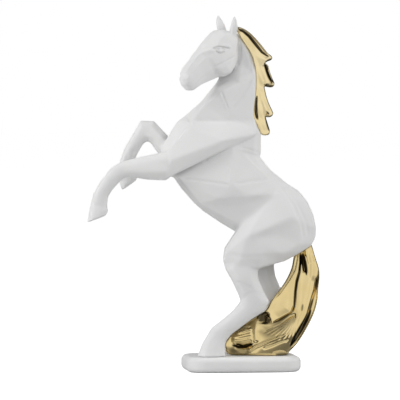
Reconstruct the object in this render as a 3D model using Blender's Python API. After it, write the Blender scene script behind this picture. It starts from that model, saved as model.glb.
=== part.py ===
"""A faceted rearing horse in white ceramic, with a gilded mane and tail, on a low slab base.

Millimetres are multiples of MM. The horse faces -X and stands up along +Z, with its left flank on -Y.
The origin is the centre of the base's underside.

The form of the figure is set out on a side-view sheet: how far a mark is behind the middle of the base, how
high it is above the ground that the hooves stand on, and how far it stands out to the horse's left. It is
drawn from a little ahead of the left flank, and the two sides share one outline on it, so that the right
haunch and leg are set a little further back than the left ones. One unit of the sheet is one millimetre on a
horse of the height below, and the whole figure follows that height.
"""

import math
from collections import Counter

import bmesh
import bpy
from mathutils import Vector
from mathutils.geometry import delaunay_2d_cdt

MM = 0.001
MERGE = 0.001 * MM

# Driving dimensions
HORSE_HEIGHT = 339.5 * MM
BASE_LENGTH = 115.5 * MM
BASE_DEPTH = 76 * MM
BASE_THICKNESS = 15.5 * MM
BASE_CORNER_RADIUS = 19 * MM
BASE_EDGE_RADIUS = 5.5 * MM
SEAT_GAP = 0.3 * MM

# How many flats make a plan corner of the base, and how many make its rounded edge
CORNER_STEPS = 5
EDGE_STEPS = 4

# Colour, roughness and metallic share of the two finishes
WHITE_CERAMIC = ((0.82, 0.82, 0.81), 0.5, 0.0)
GOLD_LUSTRE = ((0.83, 0.66, 0.32), 0.12, 1.0)

# The side-view sheet
SHEET_HEIGHT = 339.5
SHEET_RISE = math.tan(math.radians(2))
SHEET_TURN = math.radians(7.5)
SHEET_MERGE = 0.001
NEAREST_MARKS = 3
UNIT = HORSE_HEIGHT / SHEET_HEIGHT

# The turn and the droop of the head, and the place of the poll on the sheet
HEAD_YAW = math.radians(27.5)
HEAD_PITCH = math.radians(45)
POLL_BEHIND = -12.5
POLL_HIGH = 321.5

# How far from the middle a haunch starts, and how thick the tail's right half is beside its left one
HAUNCH_BACK = 4
TAIL_RIGHT_SHARE = 0.4

LEFT = 1
RIGHT = -1


# Points of the sheet


def spot(behind, high, out=0.0):
    """The place in space of a mark on the sheet. Marks on the ground line stand on the base."""
    seat = BASE_THICKNESS + SEAT_GAP
    rise = abs(out) * SHEET_RISE if high > 0 else 0.0
    back = (behind - out * math.sin(SHEET_TURN)) / math.cos(SHEET_TURN)
    return Vector((back * UNIT, -out * UNIT, seat + (high + rise) * UNIT))


# Makers of bodies


def body_of(bm, name):
    """An object from a bmesh, with its faces pointing out."""
    bmesh.ops.remove_doubles(bm, verts=bm.verts, dist=MERGE)
    bmesh.ops.recalc_face_normals(bm, faces=bm.faces)
    mesh = bpy.data.meshes.new(name)
    bm.to_mesh(mesh)
    bm.free()
    body = bpy.data.objects.new(name, mesh)
    bpy.context.scene.collection.objects.link(body)
    return body


def out_between(place, places):
    """How far out the sheet is where two creases cross, from the marks nearest to it."""
    gaps = sorted((math.dist(place, (behind, high)), out) for behind, high, out in places.values())
    nearest = gaps[:NEAREST_MARKS]
    total = sum(1 / gap for gap, _ in nearest)
    return sum(out / gap for gap, out in nearest) / total


def relief(name, outline, marks, creases, other_share=1.0, back=None):
    """A body whose one side is a faceted sheet over its outline, with creases along the named marks.

    With no back its other side follows the first, at a share of its thickness. Otherwise it is flat, at that
    distance from the middle.
    """
    names = list(outline) + list(marks)
    places = {**outline, **marks}
    rim = len(outline)
    edges = [(i, (i + 1) % rim) for i in range(rim)]
    for line in creases:
        chain = line.split()
        edges += [(names.index(a), names.index(b)) for a, b in zip(chain, chain[1:])]
    flat = [Vector((places[n][0], places[n][1])) for n in names]
    inside_only = 1
    found = delaunay_2d_cdt(flat, edges, [list(range(rim))], inside_only, SHEET_MERGE)
    bm = bmesh.new()
    sides = [[], []]
    for place, origins in zip(found[0], found[3]):
        behind, high = place
        out = places[names[origins[0]]][2] if origins else out_between(place, places)
        sides[0].append(bm.verts.new(spot(behind, high, out)))
        sides[1].append(bm.verts.new(spot(behind, high, -out * other_share if back is None else back)))
    uses = Counter()
    for face in found[2]:
        bm.faces.new([sides[0][i] for i in face])
        bm.faces.new([sides[1][i] for i in reversed(face)])
        uses.update(frozenset(edge) for edge in zip(face, face[1:] + face[:1]))
    for edge, times in uses.items():
        if times == 1:
            a, b = edge
            bm.faces.new([sides[0][a], sides[0][b], sides[1][b], sides[1][a]])
    return body_of(bm, name)


def hull(name, marks, side):
    """The smallest convex body round the marks, on one side."""
    bm = bmesh.new()
    for behind, high, out in marks:
        bm.verts.new(spot(behind, high, out * side))
    found = bmesh.ops.convex_hull(bm, input=bm.verts)
    inside = found["geom_interior"] + found["geom_unused"]
    spare = {item for item in inside if isinstance(item, bmesh.types.BMVert)}
    bmesh.ops.delete(bm, geom=list(spare), context="VERTS")
    return body_of(bm, name)


def loft(name, rings):
    """A closed body through rings of equally many points."""
    bm = bmesh.new()
    rows = [[bm.verts.new(p) for p in ring] for ring in rings]
    count = len(rows[0])
    for low, high in zip(rows, rows[1:]):
        for i in range(count):
            j = (i + 1) % count
            bm.faces.new([low[i], low[j], high[j], high[i]])
    bm.faces.new(list(reversed(rows[0])))
    bm.faces.new(rows[-1])
    bmesh.ops.triangulate(bm, faces=[f for f in bm.faces if len(f.verts) == 4], quad_method="SHORT_EDGE")
    return body_of(bm, name)


# A limb's section: how far along from its front to its back, and the share of its half width there
LIMB_SECTION = [(0.0, 0.42), (0.26, 1.0), (0.72, 1.0), (1.0, 0.45)]


def limb(name, stations, side):
    """A limb through stations, each with its front and back on the sheet, its middle and its half width."""
    rings = []
    for front, back, middle, half in stations:
        outer = []
        inner = []
        for along, share in LIMB_SECTION:
            behind = front[0] + (back[0] - front[0]) * along
            high = front[1] + (back[1] - front[1]) * along
            outer.append(spot(behind, high, side * (middle + half * share)))
            inner.append(spot(behind, high, side * (middle - half * share)))
        rings.append(outer + list(reversed(inner)))
    return loft(name, rings)


def evaluated(body):
    """Applies a body's modifiers to its mesh."""
    graph = bpy.context.evaluated_depsgraph_get()
    mesh = bpy.data.meshes.new_from_object(body.evaluated_get(graph))
    body.modifiers.clear()
    old = body.data
    body.data = mesh
    bpy.data.meshes.remove(old)


def boolean(body, other, operation):
    """Joins another body to this one, or cuts it away, and deletes the other."""
    step = body.modifiers.new(other.name, "BOOLEAN")
    step.operation = operation
    step.solver = "EXACT"
    step.object = other
    evaluated(body)
    bpy.data.objects.remove(other)


def joined(bodies):
    """Makes one body of several that run into one another."""
    first = bodies[0]
    for other in bodies[1:]:
        boolean(first, other, "UNION")
    return first


def seat_in(body, guest):
    """Cuts the seat of another piece into this one, with the seat gap all round."""
    seat = guest.copy()
    seat.data = guest.data.copy()
    seat.name = "seat"
    bpy.context.scene.collection.objects.link(seat)
    grow = seat.modifiers.new("clearance", "DISPLACE")
    grow.strength = SEAT_GAP
    grow.mid_level = 0.0
    evaluated(seat)
    boolean(body, seat, "DIFFERENCE")


def finish(body, name, look):
    """Names a piece and gives it its own material."""
    colour, roughness, metallic = look
    body.name = name
    body.data.name = name
    material = bpy.data.materials.new(name)
    material.use_nodes = True
    shader = material.node_tree.nodes["Principled BSDF"]
    shader.inputs["Base Color"].default_value = (*colour, 1.0)
    shader.inputs["Roughness"].default_value = roughness
    shader.inputs["Metallic"].default_value = metallic
    body.data.materials.clear()
    body.data.materials.append(material)


# The trunk: neck, ribs, belly, loin and croup

TRUNK_OUTLINE = {
    "throat_in": (-17.5, 284.5, 3),
    "throat": (-25.5, 271.5, 3),
    "neck_front": (-40.5, 253, 3),
    "breast_top": (-56.5, 239, 3),
    "breast_swell": (-64.5, 233, 5),
    "breast": (-71.5, 221.5, 6),
    "breast_low": (-79, 207.5, 6),
    "breast_under": (-82, 194.5, 6),
    "girth_front": (-77.5, 181.5, 6),
    "girth": (-67.2, 178, 6),
    "belly_a": (-60.1, 167.5, 5),
    "belly_b": (-46.8, 152.3, 5),
    "belly_c": (-37.6, 144.1, 5),
    "belly_d": (-19.3, 131.8, 5),
    "flank_notch": (-3.5, 122.2, 5),
    "groin": (11.5, 114.5, 4),
    "seat_under": (44.5, 107.5, 4),
    "dock_under": (66.5, 108.5, 4),
    "dock": (71.5, 110.5, 4),
    "rump_d": (74, 116.5, 9),
    "rump_c": (74.5, 127.8, 11),
    "rump_b": (72, 142.1, 12),
    "rump_a": (66, 154.3, 12),
    "croup": (58.3, 163.5, 12),
    "loin_b": (46, 171.6, 11),
    "loin_a": (29.7, 184.9, 10),
    "saddle": (19, 198.2, 9),
    "saddle_lip": (20, 203.3, 9),
    "withers": (20, 219.5, 8),
    "crest_e": (21, 232.5, 6),
    "crest_d": (20.5, 247.5, 4),
    "crest_c": (21, 266.5, 4),
    "crest_b": (19.5, 286.5, 4),
    "crest_a": (13.5, 303.5, 4),
    "crest_top": (2.5, 317.5, 4),
    "poll": (-5.5, 320.5, 4),
}

TRUNK_MARKS = {
    "jaw_in": (-9.5, 284.5, 4.6),
    "under_jowl": (-11, 276, 6.4),
    "throat_latch": (-0.5, 294.5, 5.6),
    "throat_edge": (-23.5, 266.5, 12),
    "neck_edge": (-37.5, 250.5, 14.5),
    "breast_edge": (-49.9, 233.9, 17),
    "vee_left": (-18.5, 263.5, 17),
    "vee": (-11.5, 244.5, 15.5),
    "vee_foot": (-11, 234, 15),
    "nape_a": (6.5, 302.5, 8.4),
    "nape_b": (13.5, 279.5, 11),
    "nape_c": (13, 256.5, 11.5),
    "nape_d": (13.5, 235.5, 12.5),
    "neck_side": (-0.5, 272.5, 12.5),
    "breast_mid": (-61.5, 218.5, 20),
    "breast_foot": (-72.5, 202.5, 21),
    "armpit": (-69.5, 179.5, 18),
    "under_arm": (-35.5, 193.5, 20.5),
    "rib_top": (-8.1, 205.5, 22),
    "saddle_side": (0, 205.5, 20),
    "saddle_groove": (1.5, 202.5, 19.2),
    "withers_side": (13.5, 218.5, 16),
    "withers_rear": (13.5, 205, 16.5),
    "saddle_rear": (13, 199, 16),
    "loin_rear": (23, 183.5, 16),
    "rib": (-9.1, 170.5, 29),
    "rib_front": (-61, 176.9, 20.5),
    "rib_low": (-40, 151.5, 19.5),
    "rib_mid": (-23.5, 156.5, 26),
    "rib_rear": (5.2, 158.9, 28),
    "rib_end": (28.5, 161, 25.5),
    "fold_a": (-24.5, 149, 21),
    "fold_b": (2.5, 151, 23),
    "flank": (15.5, 141.5, 22.5),
    "belly_edge": (-2.9, 130.8, 17),
    "loin_edge": (27.5, 176, 20.5),
    "croup_side": (49.5, 149.5, 21),
    "rump_side": (60.5, 131.8, 21),
    "seat_side": (56.5, 116.5, 18),
    "thigh_core": (27.5, 122.5, 18),
}

TRUNK_CREASES = [
    "throat_edge neck_edge breast_edge breast_mid breast_foot",
    "throat_edge vee_left vee nape_b",
    "vee vee_foot breast_edge",
    "nape_a nape_b nape_c nape_d withers_side",
    "vee_foot nape_d",
    "armpit under_arm rib_top saddle_side withers_side",
    "saddle_side withers_rear saddle_lip",
    "saddle_groove saddle_rear saddle",
    "withers_side withers_rear",
    "saddle_rear loin_rear loin_a",
    "rib_top saddle_groove",
    "rib_top rib",
    "rib_front rib rib_mid rib_low",
    "armpit rib_front rib_low belly_edge",
    "rib_mid rib_rear rib_end",
    "rib_low fold_a fold_b rib_end",
    "rib loin_edge",
    "saddle_groove loin_edge croup_side rump_side seat_side",
    "flank belly_edge",
    "rib_end flank",
]

# The masses on the trunk, each a list of marks round which it is the smallest convex body

SHOULDER = [
    (-49.9, 233.9, 18),
    (-46.1, 229.5, 21),
    (-11.5, 233.5, 16),
    (13.5, 230.5, 13),
    (18, 221.5, 16.5),
    (-18, 214.1, 30),
    (-73, 205, 26),
    (-70.9, 194.3, 30),
    (-69.5, 179.7, 27),
    (-75.5, 175.9, 26),
    (-25.5, 200.9, 26),
    (-60.5, 204.5, 4),
    (-5.5, 226.5, 4),
    (-40.5, 226.5, 4),
]

UPPER_HAUNCH = {
    "hip": (36.8, 164, 23.5),
    "band_top": (27.5, 158.5, 22),
    "band_left": (5.5, 137.5, 19),
    "stifle_top": (-7.5, 119.5, 21),
    "stifle_front": (-16.5, 105.5, 22),
    "stifle": (-17.9, 93.5, 22),
    "thigh_foot_a": (-2.5, 89.5, 28.4),
    "thigh_foot_b": (17.5, 87, 26.5),
    "thigh_foot_c": (43.5, 93.5, 16),
    "seat_foot": (60.5, 102.5, 14),
    "seat_back": (71, 109.5, 12),
    "buttock_low": (74.9, 117.5, 12),
    "buttock": (75.5, 127.5, 15),
    "buttock_top": (72, 142.1, 16),
    "croup_back": (63.5, 156.5, 16),
    "croup_front": (47.5, 168, 15),
}

UPPER_HAUNCH_MARKS = {
    "ridge_a": (19, 139, 29),
    "ridge_b": (7.5, 122, 33),
    "fold_left": (11.5, 120, 33.5),
    "fold_mid": (31.5, 128.5, 33.5),
    "fold_right": (52.5, 138, 29.5),
    "under_left": (12.5, 116, 32),
    "under_mid": (32.5, 121, 29),
    "under_right": (50.5, 130.5, 27),
    "swell": (27.5, 109.5, 31.5),
    "shade_a": (-14, 102.7, 25.5),
    "shade_b": (0.7, 99.5, 30.8),
    "shade_c": (20.5, 99, 31.5),
    "shade_d": (42.5, 102, 27.5),
    "rump_line_a": (51.1, 152.3, 23.5),
    "rump_line_b": (60.3, 131.8, 24.5),
    "rump_line_c": (59.5, 111.5, 22),
}

UPPER_HAUNCH_CREASES = [
    "hip ridge_a ridge_b shade_a",
    "hip fold_right",
    "fold_left fold_mid fold_right",
    "ridge_b fold_left",
    "under_left under_mid under_right fold_right",
    "fold_left under_left shade_b",
    "shade_a shade_b shade_c shade_d",
    "hip rump_line_a rump_line_b rump_line_c",
    "band_left ridge_b",
    "under_left swell",
]

# The legs, each a list of stations: front, back, how far out its middle is, and its half width

LEFT_FORELEG = [
    ((-60.5, 200.5), (-62.5, 184.5), 17, 8),
    ((-72.5, 204.3), (-75, 175), 18.5, 10.6),
    ((-100.5, 198.5), (-93.5, 175.7), 20, 9),
    ((-119.5, 193.7), (-112.5, 179), 20.5, 7.5),
    ((-129.5, 187.5), (-120, 174.5), 20.5, 7),
    ((-140.5, 173.5), (-128, 165.5), 20.5, 6.3),
    ((-147, 161.5), (-132.1, 159), 20.5, 6.2),
    ((-150, 150), (-133.2, 149), 20.5, 6.4),
    ((-150.5, 147.5), (-131.7, 145), 20.5, 8),
    ((-152.5, 133.5), (-134.9, 139.9), 20.5, 9),
]

RIGHT_FORELEG = [
    ((-63.5, 210), (-72.5, 191), 14, 8),
    ((-74.5, 220), (-82.5, 200.5), 17, 10),
    ((-87, 233.5), (-91, 212.5), 19, 9.5),
    ((-100.5, 234), (-94, 213.5), 20, 8.5),
    ((-109, 219.5), (-97.5, 211.5), 20.5, 7.6),
    ((-116.5, 207.5), (-102.5, 203), 20.5, 7),
    ((-121, 195.5), (-107, 193.5), 20.5, 6.6),
    ((-123.5, 186), (-109, 185.5), 20.5, 6.6),
    ((-124.5, 181), (-105.5, 183.5), 20.5, 8),
    ((-119.5, 164), (-103.9, 174.9), 20.5, 9),
]

LEFT_HIND_LEG = [
    ((-0.5, 106.5), (25.5, 102.5), 15, 9),
    ((-17.1, 92.5), (20.5, 89.5), 16.5, 10.4),
    ((-15.7, 86), (16.8, 85), 17, 11.8),
    ((-10, 76), (17, 77.5), 18, 11.5),
    ((-4.5, 64.5), (21.5, 66.5), 18, 10),
    ((-0.3, 54.5), (28.5, 53), 18, 9),
    ((-8.5, 44.5), (22, 43.5), 18, 8.6),
    ((-20.5, 34.5), (5.8, 32.5), 18.5, 8.2),
    ((-29.5, 28), (-9, 21.5), 19, 8),
    ((-34, 20.5), (-14.5, 15), 19, 8.4),
    ((-39, 12), (-16, 10.5), 19, 9.6),
    ((-43.5, 0), (-15.5, 0), 19, 11.5),
]

RIGHT_HIND_LEG = [
    ((5.5, 104.5), (41.5, 104.5), 15, 9),
    ((5, 96.5), (37.5, 96.5), 17, 11),
    ((7, 88.5), (33.5, 88.5), 18, 10.5),
    ((10, 77.5), (35, 77.5), 18, 10),
    ((14.5, 66.5), (39.5, 66.5), 18.5, 9.5),
    ((19.5, 56.5), (48, 55.5), 19, 9),
    ((19.5, 44.5), (46.5, 43.5), 19, 8.6),
    ((8.5, 33.5), (31.5, 32.5), 19, 8.2),
    ((-1.5, 27.5), (17, 21.5), 19, 8),
    ((-7, 20.5), (11.5, 15), 19, 8.4),
    ((-12.5, 12), (9.5, 10.5), 19, 9.6),
    ((-17, 0), (11, 0), 19, 11.5),
]

# The head's section at each distance from the poll: half width and height at the brow, the cheekbone,
# the cheek and the jaw
HEAD_STATIONS = [
    (-5, (3.5, -1), (7, -3), (7, -8), (4, -11)),
    (0, (4.6, 4), (9, 1.5), (10.4, -7), (6, -13)),
    (4, (5, 9.6), (9.8, 5), (11.4, -8), (7.4, -14.5)),
    (8, (5.6, 13), (10.6, 7), (12.4, -9), (9, -16)),
    (14, (5.9, 14.2), (11.2, 8), (13, -12), (10.5, -21)),
    (21, (6.2, 14.6), (11.6, 8), (13.4, -15), (11, -24.5)),
    (31, (5.8, 14.4), (10.6, 8), (13.4, -15), (10.8, -25.8)),
    (38, (5.4, 14), (9.4, 8), (11.8, -12), (9, -23)),
    (41.5, (5.2, 13.8), (8.8, 8), (9.2, -7), (5.5, -19.5)),
    (52, (4.8, 13.4), (7.8, 8), (7.8, -4), (4.2, -15)),
    (61, (4.6, 13.2), (7.6, 8), (7.6, -3), (4.5, -10.6)),
    (67.5, (4.4, 12), (7.6, 7), (7.6, -2.6), (4.6, -9)),
    (72, (4, 9), (6.8, 4.5), (6.6, -2.4), (4.6, -7.8)),
    (75, (2.8, 4.5), (4.6, 2.4), (4.6, -1.4), (3.6, -5.2)),
]

# The ears: base, tip, and the half widths of the base across and along the head
EARS = [
    ((-7.5, 323.5, 6.5), (-4.7, 338.5, 8), 4.4, 3.6),
    ((-19, 325.5, -4.5), (-21.4, 339.7, -6.5), 5, 3.6),
]
EAR_SIDES = 6

# How far up an ear each of its rings is, and the share of its width there
EAR_RINGS = [(-0.35, 0.9), (0.25, 1.0), (0.6, 0.72), (0.97, 0.16)]

# The mane

MANE_OUTLINE = {
    "start": (-4.1, 327.5, 2.5),
    "top_a": (4.4, 325.3, 2),
    "top_b": (9.8, 321.5, 2),
    "top_c": (15.1, 316.1, 2),
    "top_d": (19.7, 310.8, 2),
    "top_e": (24.3, 305, 1.8),
    "hook_a": (29, 299.7, 1.6),
    "tip_a": (31.7, 296.6, 1.4),
    "tip_a_under": (29, 294, 1.6),
    "notch_a": (26.1, 291.5, 3.5),
    "top_f": (28.1, 288, 2.4),
    "top_g": (30.4, 279.4, 2.4),
    "tip_b": (33.7, 271.5, 2.4),
    "tip_b_under": (31, 267.5, 4),
    "notch_b": (24.1, 267.9, 5),
    "top_h": (25.5, 259.5, 5.5),
    "top_i": (28.1, 251.5, 5.5),
    "tip_c": (32.4, 241.7, 4),
    "tip_c_under": (29.5, 237.5, 4),
    "notch_c": (25.1, 237.7, 5.5),
    "top_j": (27.8, 228.8, 6),
    "tip_d": (29.2, 222.5, 5.5),
    "tip_d_under": (26, 219.5, 5.5),
    "end": (20.5, 220.4, 8),
    "neck_a": (15.9, 230, 12.6),
    "neck_b": (13, 237.5, 13.6),
    "neck_c": (12.8, 245.5, 13.2),
    "neck_d": (14.1, 256.5, 12.8),
    "neck_e": (15.7, 268.5, 12.2),
    "neck_f": (15.8, 279.5, 12),
    "neck_g": (14.4, 290.1, 11.6),
    "neck_h": (11.7, 298.7, 11),
    "neck_i": (7.5, 306.7, 10.4),
    "neck_j": (1.5, 315, 9.4),
    "neck_k": (-3.2, 323, 7),
}

MANE_MARKS = {
    "crest_a": (2.1, 321.9, 8),
    "crest_b": (8, 316.9, 9),
    "crest_c": (13.5, 310.1, 9.4),
    "crest_d": (19, 303.5, 8.4),
    "crest_e": (24, 299.1, 6),
    "crest_f": (28.3, 297.3, 3.2),
    "lock_a": (12, 305, 12.2),
    "lock_a_end": (21.5, 296, 7),
    "vale_a": (15.6, 298, 10.4),
    "lock_b": (18.5, 291, 11.8),
    "hollow_a": (24.6, 288, 5),
    "lock_b_low": (24.8, 277, 9.4),
    "lock_b_end": (30, 270.6, 5.4),
    "vale_b": (19.2, 281, 9.6),
    "lock_c": (19, 268.5, 12),
    "lock_c_low": (24.4, 252.5, 9.8),
    "lock_c_end": (29.5, 241.5, 6),
    "vale_c": (20, 254.5, 9.4),
    "lock_d": (20, 242.5, 11),
    "lock_d_low": (24.5, 226.5, 8),
    "slit_top": (16.2, 258.5, 12),
    "slit": (16.4, 246.5, 9.6),
    "slit_foot": (17.6, 234.5, 11),
}

MANE_CREASES = [
    "start crest_a crest_b crest_c crest_d crest_e crest_f tip_a",
    "neck_j lock_a lock_a_end tip_a_under",
    "neck_i vale_a notch_a",
    "neck_h lock_b hollow_a",
    "hollow_a lock_b_low lock_b_end tip_b",
    "neck_g vale_b notch_b",
    "neck_f lock_c lock_c_low lock_c_end tip_c",
    "neck_e vale_c notch_c",
    "neck_d slit_top slit slit_foot",
    "vale_c lock_d lock_d_low tip_d",
    "slit_foot tip_d_under",
]

# The tail

TAIL_OUTLINE = {
    "root_back": (68.5, 116.5, 4),
    "dock": (71.6, 108.5, 7),
    "outer_a": (75.8, 93.4, 7),
    "outer_b": (79, 86, 6.6),
    "outer_c": (79.8, 77, 6.4),
    "outer_d": (78.8, 65, 6.4),
    "outer_e": (77.5, 53, 6.4),
    "outer_f": (74.5, 41.3, 6.4),
    "outer_g": (69.8, 31.4, 7),
    "outer_h": (62.8, 19.6, 8),
    "outer_i": (55.5, 9.4, 10),
    "outer_j": (48.2, 4, 13),
    "foot_a": (45.9, 0, 17),
    "foot_b": (31.5, 0, 20),
    "foot_c": (15.5, 0, 17),
    "foot_d": (-0.5, 0, 10),
    "foot_e": (-14.5, 0, 7),
    "inner_a": (-16.3, 11.5, 6),
    "inner_b": (-12, 18.5, 6),
    "inner_c": (-5.9, 25.7, 6),
    "inner_d": (3, 30.9, 6),
    "inner_e": (12, 36.1, 7),
    "inner_f": (21.5, 41.5, 6),
    "inner_g": (28.5, 50, 5),
    "inner_h": (34.5, 58.5, 5),
    "inner_i": (41.3, 67.1, 5),
    "inner_j": (47.5, 77, 5),
    "inner_k": (51.5, 87, 5),
    "inner_l": (53.3, 97, 5),
    "inner_m": (56, 106.5, 5),
    "root_front": (58.5, 114.5, 4),
}

TAIL_MARKS = {
    "rim_a": (56.9, 92.5, 9.5),
    "rim_b": (51.1, 76.1, 10.5),
    "rim_c": (42.5, 64.1, 11),
    "rim_d": (35.5, 54.5, 11.5),
    "rim_e": (25.5, 39.5, 12),
    "vale_a": (59.1, 98.5, 9),
    "vale_b": (58.1, 86, 8.5),
    "vale_c": (55, 71.5, 8.5),
    "vale_d": (53.5, 53.5, 10),
    "vale_e": (52.1, 43.5, 11),
    "vale_f": (41.5, 35.5, 12),
    "vale_g": (30.1, 29.5, 13),
    "ridge_a": (63.5, 98.5, 12),
    "ridge_b": (61.1, 78.5, 14),
    "ridge_c": (59.1, 58.5, 17),
    "ridge_d": (56.5, 38.5, 19),
    "ridge_e": (47.5, 20.5, 21),
    "ridge_f": (21.5, 9.5, 19.5),
    "hollow_a": (64.9, 92.5, 9),
    "hollow_b": (64.9, 79.5, 9.5),
    "plume_a": (69.1, 97.5, 10.5),
    "plume_b": (71.1, 79.5, 11),
    "plume_c": (69.9, 58.5, 12),
    "plume_d": (64.5, 39.5, 13),
    "plume_e": (56.5, 23.5, 15.5),
    "plume_f": (49.5, 8.5, 19),
    "groove_a": (65.1, 54.5, 11),
    "groove_b": (60, 34.5, 13.5),
    "strap_a": (17, 34.5, 14),
    "strap_b": (16, 20.5, 16),
    "strap_c": (14.5, 9, 15.5),
    "lobe_a": (5.5, 23.5, 10),
    "lobe_b": (-2.5, 16.5, 11.5),
    "lobe_c": (3.5, 7.5, 9),
    "lobe_d": (-9.5, 9.5, 9.5),
    "foot_fold": (31.5, 6.5, 21.5),
}

TAIL_CREASES = [
    "root_front rim_a rim_b rim_c rim_d rim_e strap_a",
    "root_front vale_a vale_b vale_c vale_d vale_e vale_f vale_g",
    "root_back ridge_a ridge_b ridge_c ridge_d ridge_e ridge_f foot_d",
    "hollow_a hollow_b groove_a groove_b",
    "dock plume_a plume_b plume_c plume_d plume_e plume_f foot_a",
    "inner_e strap_a strap_b strap_c foot_d",
    "inner_d lobe_a lobe_b lobe_d inner_a",
    "strap_c lobe_c lobe_d",
    "vale_g ridge_f",
    "ridge_e foot_fold foot_b",
]


# Sub-parts


def head():
    """The head, lofted along its axis from the poll to the lips, then drooped and turned to the viewer."""
    poll = spot(POLL_BEHIND, POLL_HIGH)
    turn = math.cos(HEAD_YAW)
    lean = math.sin(HEAD_YAW)
    along = Vector((-math.cos(HEAD_PITCH) * turn, -math.cos(HEAD_PITCH) * lean, -math.sin(HEAD_PITCH)))
    up = Vector((-math.sin(HEAD_PITCH) * turn, -math.sin(HEAD_PITCH) * lean, math.cos(HEAD_PITCH)))
    side = Vector((lean, -turn, 0))
    rings = []
    for distance, *section in HEAD_STATIONS:
        near = [poll + (along * distance + up * h + side * w) * UNIT for w, h in section]
        far = [poll + (along * distance + up * h - side * w) * UNIT for w, h in reversed(section)]
        rings.append(near + far)
    return loft("head", rings)


def ear(base, tip, across, along):
    """A slim ear that swells above its base and ends in a point."""
    low = spot(*base)
    high = spot(*tip)
    rings = []
    for share, width in EAR_RINGS:
        centre = low.lerp(high, share)
        ring = []
        for i in range(EAR_SIDES):
            angle = math.tau * i / EAR_SIDES
            offset = Vector((math.cos(angle) * across, math.sin(angle) * along, 0))
            ring.append(centre + offset * width * UNIT)
        rings.append(ring)
    return loft("ear", rings)


def haunch(side):
    """The mass of the thigh on one side, with the fold across it and the lines down the rump."""
    outline = {n: (behind, high, out * side) for n, (behind, high, out) in UPPER_HAUNCH.items()}
    marks = {n: (behind, high, out * side) for n, (behind, high, out) in UPPER_HAUNCH_MARKS.items()}
    return relief("haunch", outline, marks, UPPER_HAUNCH_CREASES, back=HAUNCH_BACK * side)


def horse():
    """The white casting: trunk, shoulders, haunches, legs, head and ears in one."""
    bodies = [relief("trunk", TRUNK_OUTLINE, TRUNK_MARKS, TRUNK_CREASES)]
    for side in (LEFT, RIGHT):
        bodies.append(hull("shoulder", SHOULDER, side))
        bodies.append(haunch(side))
    bodies.append(limb("foreleg", LEFT_FORELEG, LEFT))
    bodies.append(limb("foreleg", RIGHT_FORELEG, RIGHT))
    bodies.append(limb("hind_leg", LEFT_HIND_LEG, LEFT))
    bodies.append(limb("hind_leg", RIGHT_HIND_LEG, RIGHT))
    bodies.append(head())
    for base, tip, across, along in EARS:
        bodies.append(ear(base, tip, across, along))
    return joined(bodies)


def rounded_outline(length, depth, radius, height):
    """The points of a rectangle with round corners."""
    ring = []
    for quarter in range(4):
        turn = math.pi / 2 * quarter
        cx = (length / 2 - radius) * (1 if quarter in (0, 3) else -1)
        cy = (depth / 2 - radius) * (1 if quarter in (0, 1) else -1)
        for i in range(CORNER_STEPS + 1):
            angle = turn + math.pi / 2 * i / CORNER_STEPS
            ring.append(Vector((cx + radius * math.cos(angle), cy + radius * math.sin(angle), height)))
    return ring


def base():
    """The slab, with round plan corners and rounded edges above and below."""
    edge = []
    for i in range(EDGE_STEPS + 1):
        angle = math.pi / 2 * i / EDGE_STEPS
        edge.append((BASE_EDGE_RADIUS * (1 - math.sin(angle)), BASE_EDGE_RADIUS * (1 - math.cos(angle))))
    upper_edge = [(inset, BASE_THICKNESS - height) for inset, height in reversed(edge)]
    outlines = []
    for inset, height in edge + upper_edge:
        length = BASE_LENGTH - 2 * inset
        depth = BASE_DEPTH - 2 * inset
        outlines.append(rounded_outline(length, depth, BASE_CORNER_RADIUS - inset, height))
    return loft("base", outlines)


def main():
    """Builds the horse, its mane and tail, and the base, in their places."""
    for old in list(bpy.data.objects):
        bpy.data.objects.remove(old)
    mane = relief("mane", MANE_OUTLINE, MANE_MARKS, MANE_CREASES)
    tail = relief("tail", TAIL_OUTLINE, TAIL_MARKS, TAIL_CREASES, TAIL_RIGHT_SHARE)
    body = horse()
    seat_in(body, mane)
    seat_in(body, tail)
    finish(body, "horse", WHITE_CERAMIC)
    finish(mane, "mane", GOLD_LUSTRE)
    finish(tail, "tail", GOLD_LUSTRE)
    finish(base(), "base", WHITE_CERAMIC)


main()
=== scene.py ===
import math

import bmesh
import bpy
import numpy as np
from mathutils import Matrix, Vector
from mathutils.bvhtree import BVHTree


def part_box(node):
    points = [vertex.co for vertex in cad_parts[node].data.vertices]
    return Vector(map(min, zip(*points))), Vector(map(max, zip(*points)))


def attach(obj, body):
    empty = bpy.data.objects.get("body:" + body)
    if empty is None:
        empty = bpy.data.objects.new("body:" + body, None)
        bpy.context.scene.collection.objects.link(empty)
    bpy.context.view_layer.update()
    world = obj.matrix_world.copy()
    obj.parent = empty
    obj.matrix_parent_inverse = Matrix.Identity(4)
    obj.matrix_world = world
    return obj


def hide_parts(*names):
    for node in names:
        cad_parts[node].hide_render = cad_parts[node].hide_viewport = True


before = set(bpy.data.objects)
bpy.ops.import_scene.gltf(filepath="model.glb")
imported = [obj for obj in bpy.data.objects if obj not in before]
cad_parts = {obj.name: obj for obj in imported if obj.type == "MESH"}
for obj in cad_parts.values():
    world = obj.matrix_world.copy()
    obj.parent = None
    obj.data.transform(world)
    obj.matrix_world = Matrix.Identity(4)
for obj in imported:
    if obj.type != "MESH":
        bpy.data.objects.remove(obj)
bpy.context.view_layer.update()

MM = 0.001

# The side-view sheet, one unit of which is one millimetre on the real horse and one pixel of the photograph
SHEET_CENTRE = 240.5
SHEET_GROUND = 354.5
SHEET_HEIGHT = 339.5
HORSE_LOW, HORSE_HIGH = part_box("horse")
UNIT = (HORSE_HIGH.z - HORSE_LOW.z) / SHEET_HEIGHT

# The sheet is seen from a little ahead of the left flank, and from a little above
SHEET_TURN = math.radians(7.5)
SHEET_RISE = math.tan(math.radians(2))

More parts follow.
